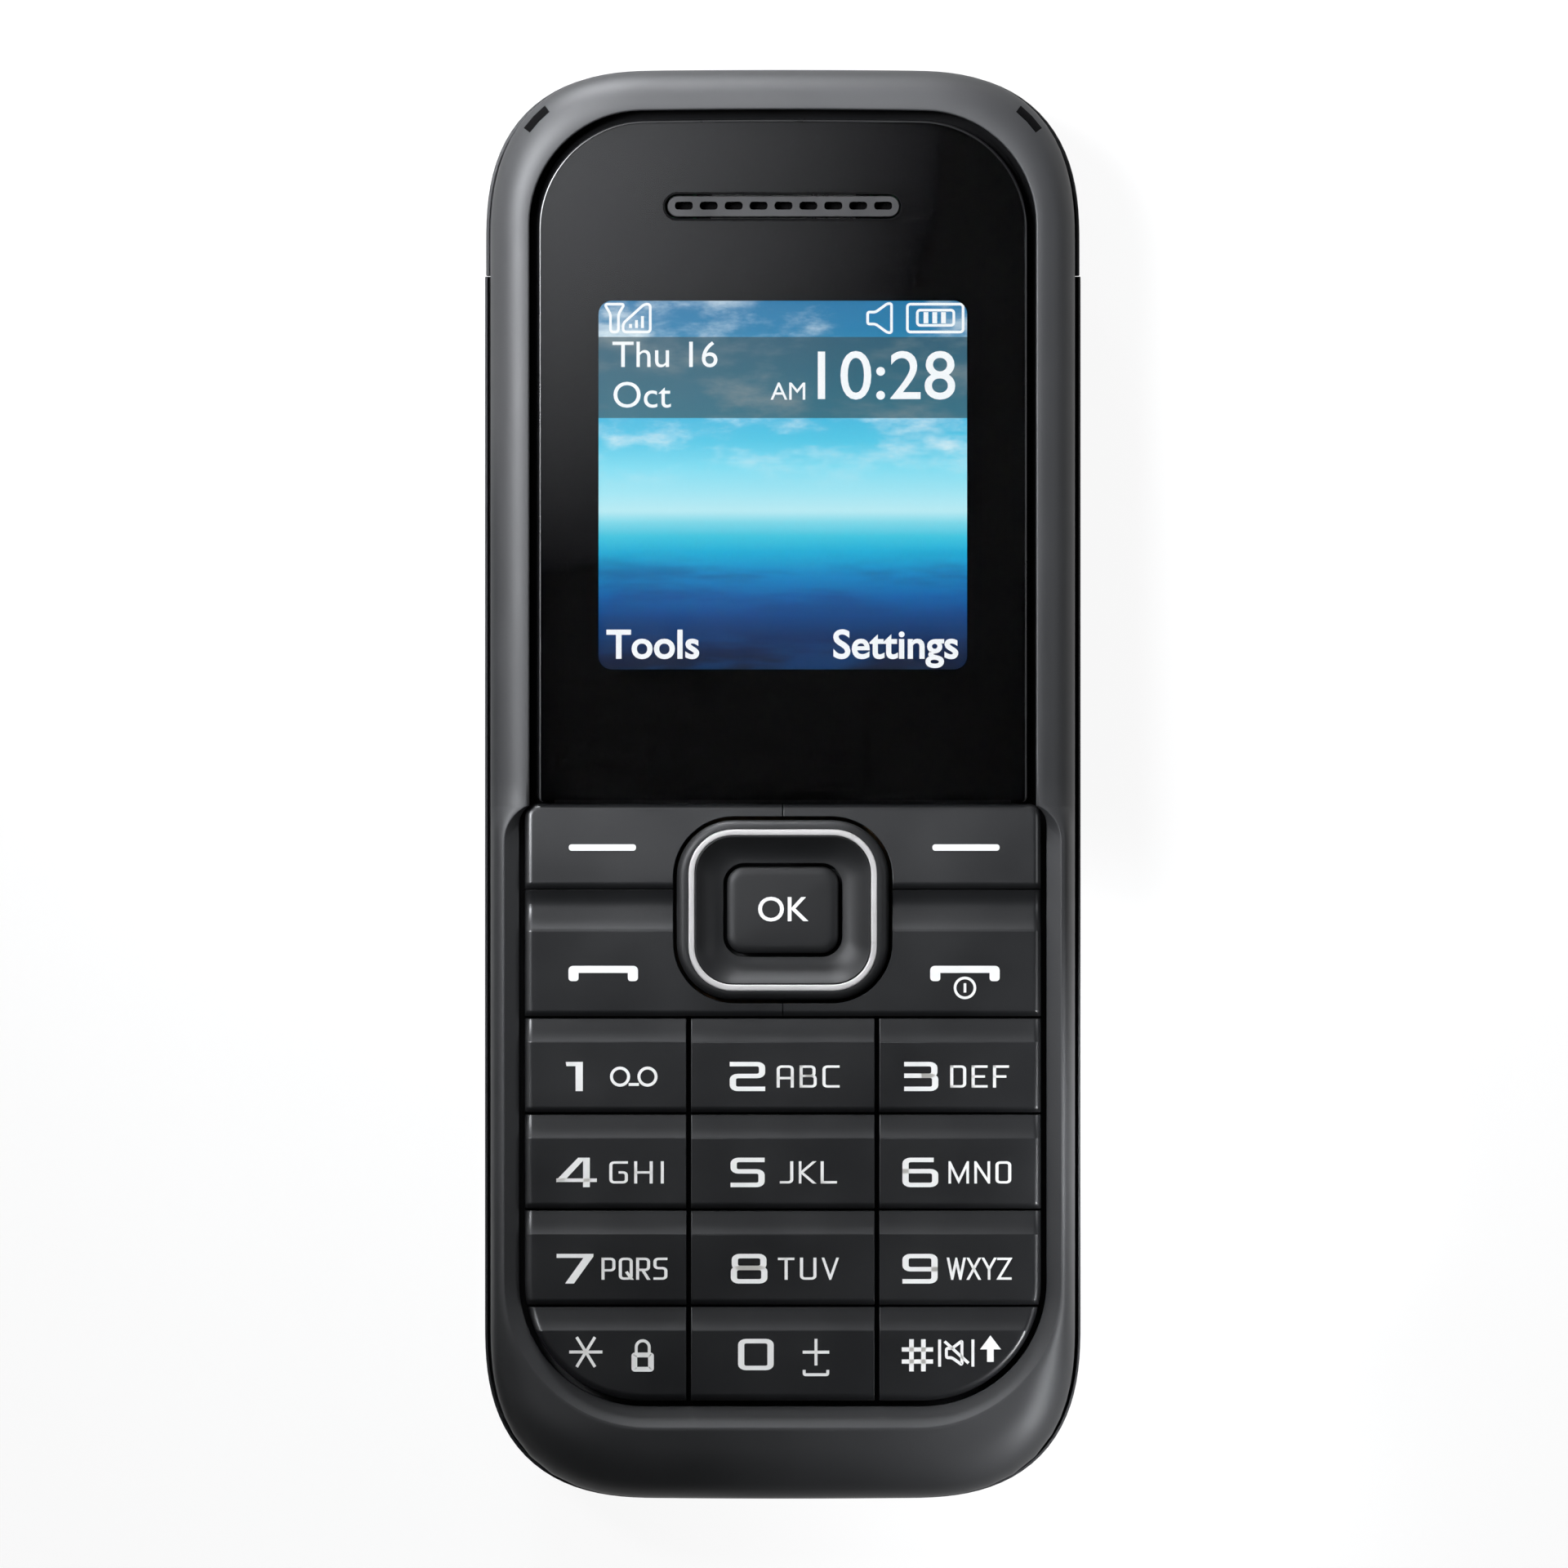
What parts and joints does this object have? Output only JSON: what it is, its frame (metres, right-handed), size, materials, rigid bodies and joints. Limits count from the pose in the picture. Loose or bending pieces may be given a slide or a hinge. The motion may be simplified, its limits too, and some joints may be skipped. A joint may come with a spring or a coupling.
{
  "type": "feature phone",
  "caption": "Bar-shaped feature phone with a square colour display, a numeric keypad, a rocking navigation key with a centre key, and a sliding battery cover.",
  "frame": {"origin": "middle of the flat back, on the surface that the phone lies on", "axes": "+X to the right of the screen, +Y towards the earpiece, +Z out of the screen"},
  "size_m": [0.045, 0.1079, 0.0135],
  "materials": {
    "frame_plastic": "satin charcoal, fine moulded texture",
    "shell_plastic": "satin charcoal, fine moulded texture",
    "key_plastic": "satin black-grey key caps",
    "bright_trim": "pale silver gloss",
    "lens_clear": "polished clear acrylic",
    "lens_print": "black print",
    "grille_black": "satin black",
    "black_fabric": "fine acoustic mesh",
    "display_glass": "lit display",
    "light_guide": "clear white",
    "white_plastic": "moulded white",
    "black_foam": "closed-cell foam and tape",
    "silicone": "translucent grey silicone",
    "dome_film": "amber film over steel domes",
    "board_green": "green solder mask",
    "chip_black": "moulded package",
    "steel": "tinned sheet and steel",
    "gold": "gold-plated contact",
    "battery_case": "dark wrapped cell"
  },
  "bodies": {
    "root": {"front_frame": "frame_plastic", "rear_housing": "shell_plastic", "screen_lens": "lens_clear", "lens_mask": "lens_print", "earpiece_grille": "grille_black", "earpiece_mesh": "black_fabric", "lcd_panel": "display_glass", "lcd_backlight": "light_guide", "key_leds": "light_guide", "lcd_frame": "white_plastic", "sim_card": "white_plastic", "lens_tape": "black_foam", "lcd_gasket": "black_foam", "receiver_gasket": "black_foam", "speaker_gasket": "black_foam", "mic_boot": "black_foam", "keypad_mat": "silicone", "dome_sheet": "dome_film", "lcd_flex": "dome_film", "main_board": "board_green", "board_chips": "chip_black", "battery_connector": "chip_black", "headset_jack": "chip_black", "loudspeaker": "chip_black", "shield_cans": "steel", "sim_socket": "steel", "usb_socket": "steel", "receiver": "steel", "microphone": "steel", "vibration_motor": "steel", "case_screws": "steel", "battery_contacts": "gold", "battery_terminals": "gold", "speaker_contacts": "gold", "antenna": "gold", "battery": "battery_case"},
    "soft_key_left": {"soft_key_left": "key_plastic"},
    "soft_key_right": {"soft_key_right": "key_plastic"},
    "call_key": {"call_key": "key_plastic"},
    "end_key": {"end_key": "key_plastic"},
    "ok_key": {"ok_key": "key_plastic"},
    "key_1": {"key_1": "key_plastic"},
    "key_2": {"key_2": "key_plastic"},
    "key_3": {"key_3": "key_plastic"},
    "key_4": {"key_4": "key_plastic"},
    "key_5": {"key_5": "key_plastic"},
    "key_6": {"key_6": "key_plastic"},
    "key_7": {"key_7": "key_plastic"},
    "key_8": {"key_8": "key_plastic"},
    "key_9": {"key_9": "key_plastic"},
    "key_star": {"key_star": "key_plastic"},
    "key_0": {"key_0": "key_plastic"},
    "key_hash": {"key_hash": "key_plastic"},
    "nav_pad": {"nav_pad": "silicone"},
    "nav_ring": {"nav_ring": "key_plastic", "nav_trim": "bright_trim"},
    "battery_cover": {"battery_cover": "shell_plastic"},
    "vibration_weight": {"vibration_weight": "steel"}
  },
  "joints": [
    {"name": "soft_key_left_press", "type": "slide", "parent": "root", "child": "soft_key_left", "axis": [0, 0, 1], "range_m": [-0.0004, 0], "stiffness_N_per_m": 4000},
    {"name": "soft_key_right_press", "type": "slide", "parent": "root", "child": "soft_key_right", "axis": [0, 0, 1], "range_m": [-0.0004, 0], "stiffness_N_per_m": 4000},
    {"name": "call_key_press", "type": "slide", "parent": "root", "child": "call_key", "axis": [0, 0, 1], "range_m": [-0.0004, 0], "stiffness_N_per_m": 4000},
    {"name": "end_key_press", "type": "slide", "parent": "root", "child": "end_key", "axis": [0, 0, 1], "range_m": [-0.0004, 0], "stiffness_N_per_m": 4000},
    {"name": "ok_key_press", "type": "slide", "parent": "root", "child": "ok_key", "axis": [0, 0, 1], "range_m": [-0.0004, 0], "stiffness_N_per_m": 4000},
    {"name": "key_1_press", "type": "slide", "parent": "root", "child": "key_1", "axis": [0, 0, 1], "range_m": [-0.0004, 0], "stiffness_N_per_m": 4000},
    {"name": "key_2_press", "type": "slide", "parent": "root", "child": "key_2", "axis": [0, 0, 1], "range_m": [-0.0004, 0], "stiffness_N_per_m": 4000},
    {"name": "key_3_press", "type": "slide", "parent": "root", "child": "key_3", "axis": [0, 0, 1], "range_m": [-0.0004, 0], "stiffness_N_per_m": 4000},
    {"name": "key_4_press", "type": "slide", "parent": "root", "child": "key_4", "axis": [0, 0, 1], "range_m": [-0.0004, 0], "stiffness_N_per_m": 4000},
    {"name": "key_5_press", "type": "slide", "parent": "root", "child": "key_5", "axis": [0, 0, 1], "range_m": [-0.0004, 0], "stiffness_N_per_m": 4000},
    {"name": "key_6_press", "type": "slide", "parent": "root", "child": "key_6", "axis": [0, 0, 1], "range_m": [-0.0004, 0], "stiffness_N_per_m": 4000},
    {"name": "key_7_press", "type": "slide", "parent": "root", "child": "key_7", "axis": [0, 0, 1], "range_m": [-0.0004, 0], "stiffness_N_per_m": 4000},
    {"name": "key_8_press", "type": "slide", "parent": "root", "child": "key_8", "axis": [0, 0, 1], "range_m": [-0.0004, 0], "stiffness_N_per_m": 4000},
    {"name": "key_9_press", "type": "slide", "parent": "root", "child": "key_9", "axis": [0, 0, 1], "range_m": [-0.0004, 0], "stiffness_N_per_m": 4000},
    {"name": "key_star_press", "type": "slide", "parent": "root", "child": "key_star", "axis": [0, 0, 1], "range_m": [-0.0004, 0], "stiffness_N_per_m": 4000},
    {"name": "key_0_press", "type": "slide", "parent": "root", "child": "key_0", "axis": [0, 0, 1], "range_m": [-0.0004, 0], "stiffness_N_per_m": 4000},
    {"name": "key_hash_press", "type": "slide", "parent": "root", "child": "key_hash", "axis": [0, 0, 1], "range_m": [-0.0004, 0], "stiffness_N_per_m": 4000},
    {"name": "nav_left_right", "type": "hinge", "parent": "root", "child": "nav_pad", "pos_m": [0, -0.0095, 0.0102], "axis": [0, 1, 0], "range_deg": [-2, 2], "stiffness_Nm_per_rad": 0.28},
    {"name": "nav_up_down", "type": "hinge", "parent": "nav_pad", "child": "nav_ring", "pos_m": [0, -0.0095, 0.0108], "axis": [1, 0, 0], "range_deg": [-2, 2], "stiffness_Nm_per_rad": 0.28},
    {"name": "cover_slide", "type": "slide", "parent": "root", "child": "battery_cover", "axis": [0, -1, 0], "range_m": [0, 0.095]},
    {"name": "weight_spin", "type": "hinge", "parent": "root", "child": "vibration_weight", "pos_m": [0.0015, -0.0469, 0.0059], "axis": [1, 0, 0], "continuous": true}
  ]
}
